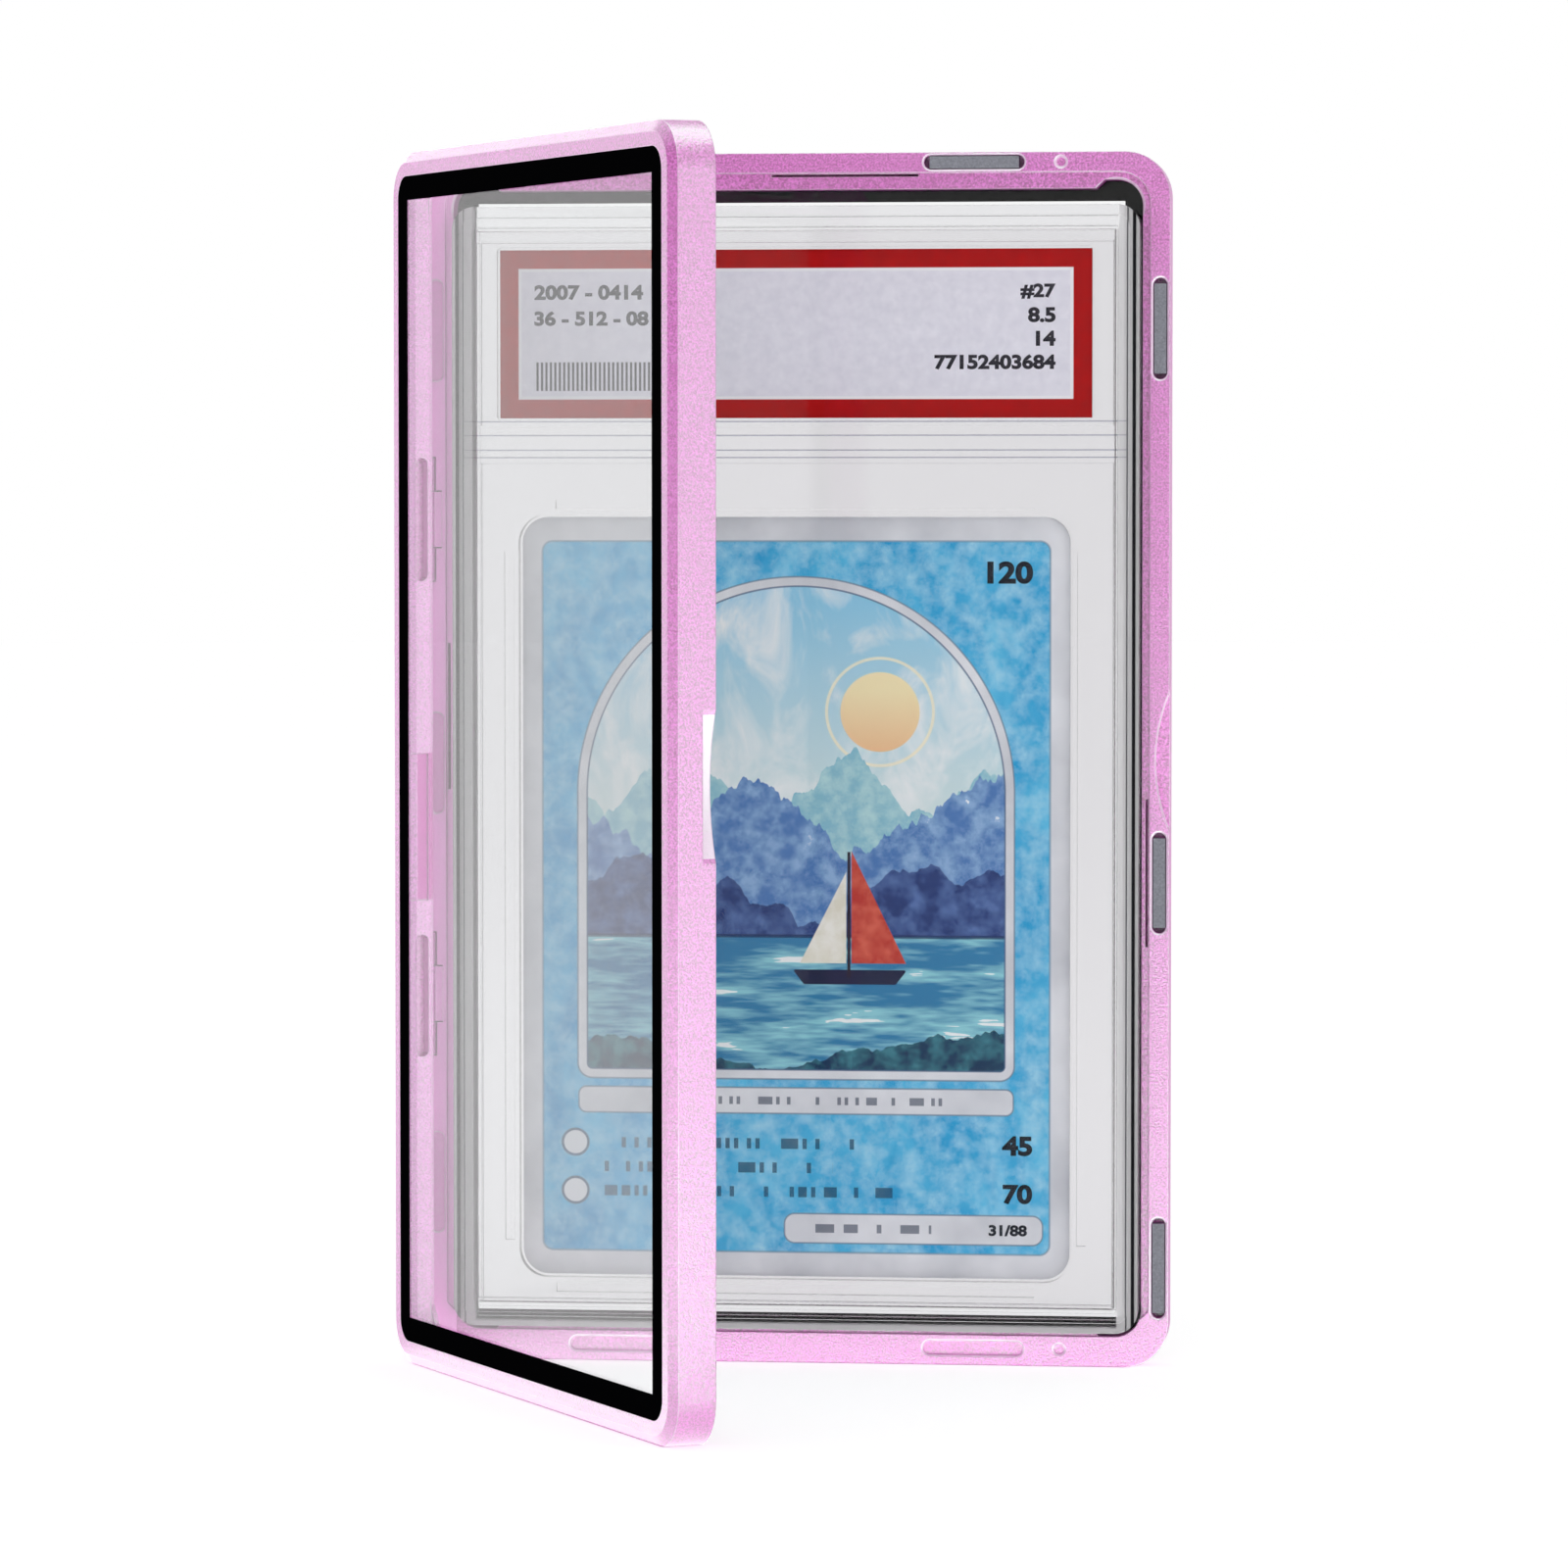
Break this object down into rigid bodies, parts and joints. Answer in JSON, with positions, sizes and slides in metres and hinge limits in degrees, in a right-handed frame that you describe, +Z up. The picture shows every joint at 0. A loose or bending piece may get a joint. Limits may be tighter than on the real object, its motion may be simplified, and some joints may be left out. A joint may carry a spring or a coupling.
{
  "type": "trading card display case",
  "caption": "Slim hinged case of two machined metal frames with clear windows that close by magnets round a clear slab holding one trading card.",
  "frame": {"origin": "middle of the tray's lower edge face, which the case stands on", "axes": "+Z up along the case's height, +Y out of the back window, +X from the hinge to the free side"},
  "size_m": [0.0896, 0.0815, 0.14],
  "materials": {
    "anodised_frame": "bead blasted and pink anodised, satin",
    "window_glass": "clear and polished",
    "border_black": "black adhesive border",
    "magnet_nickel": "nickel plated, slightly dull",
    "hinge_steel": "plain stainless steel",
    "slab_clear": "clear moulded plastic, polished",
    "insert_frosted": "pale translucent moulded plastic",
    "label_paper": "printed paper with a red border",
    "card_stock": "printed card with a silver border, slightly glossy"
  },
  "bodies": {
    "tray": {"tray_frame": "anodised_frame", "back_window": "window_glass", "back_window_border": "border_black", "tray_magnet_top_left": "magnet_nickel", "tray_magnet_top_right": "magnet_nickel", "tray_magnet_side_upper": "magnet_nickel", "tray_magnet_side_middle": "magnet_nickel", "tray_magnet_side_lower": "magnet_nickel", "hinge_upper_tray_leaf": "anodised_frame", "hinge_upper_pin": "hinge_steel", "hinge_lower_tray_leaf": "anodised_frame", "hinge_lower_pin": "hinge_steel", "slab_back_shell": "slab_clear", "slab_front_shell": "slab_clear", "card_insert_frame": "insert_frosted", "slab_label": "label_paper", "trading_card": "card_stock"},
    "door": {"door_frame": "anodised_frame", "front_window": "window_glass", "front_window_border": "border_black", "door_magnet_top_left": "magnet_nickel", "door_magnet_top_right": "magnet_nickel", "door_magnet_side_upper": "magnet_nickel", "door_magnet_side_middle": "magnet_nickel", "door_magnet_side_lower": "magnet_nickel", "hinge_upper_door_leaf": "anodised_frame", "hinge_lower_door_leaf": "anodised_frame"}
  },
  "joints": [
    {"name": "door_hinge", "type": "hinge", "parent": "tray", "child": "door", "pos_m": [-0.0429, -0.00217, 0.07], "axis": [0, 0, -1], "range_deg": [-60, 116]}
  ]
}
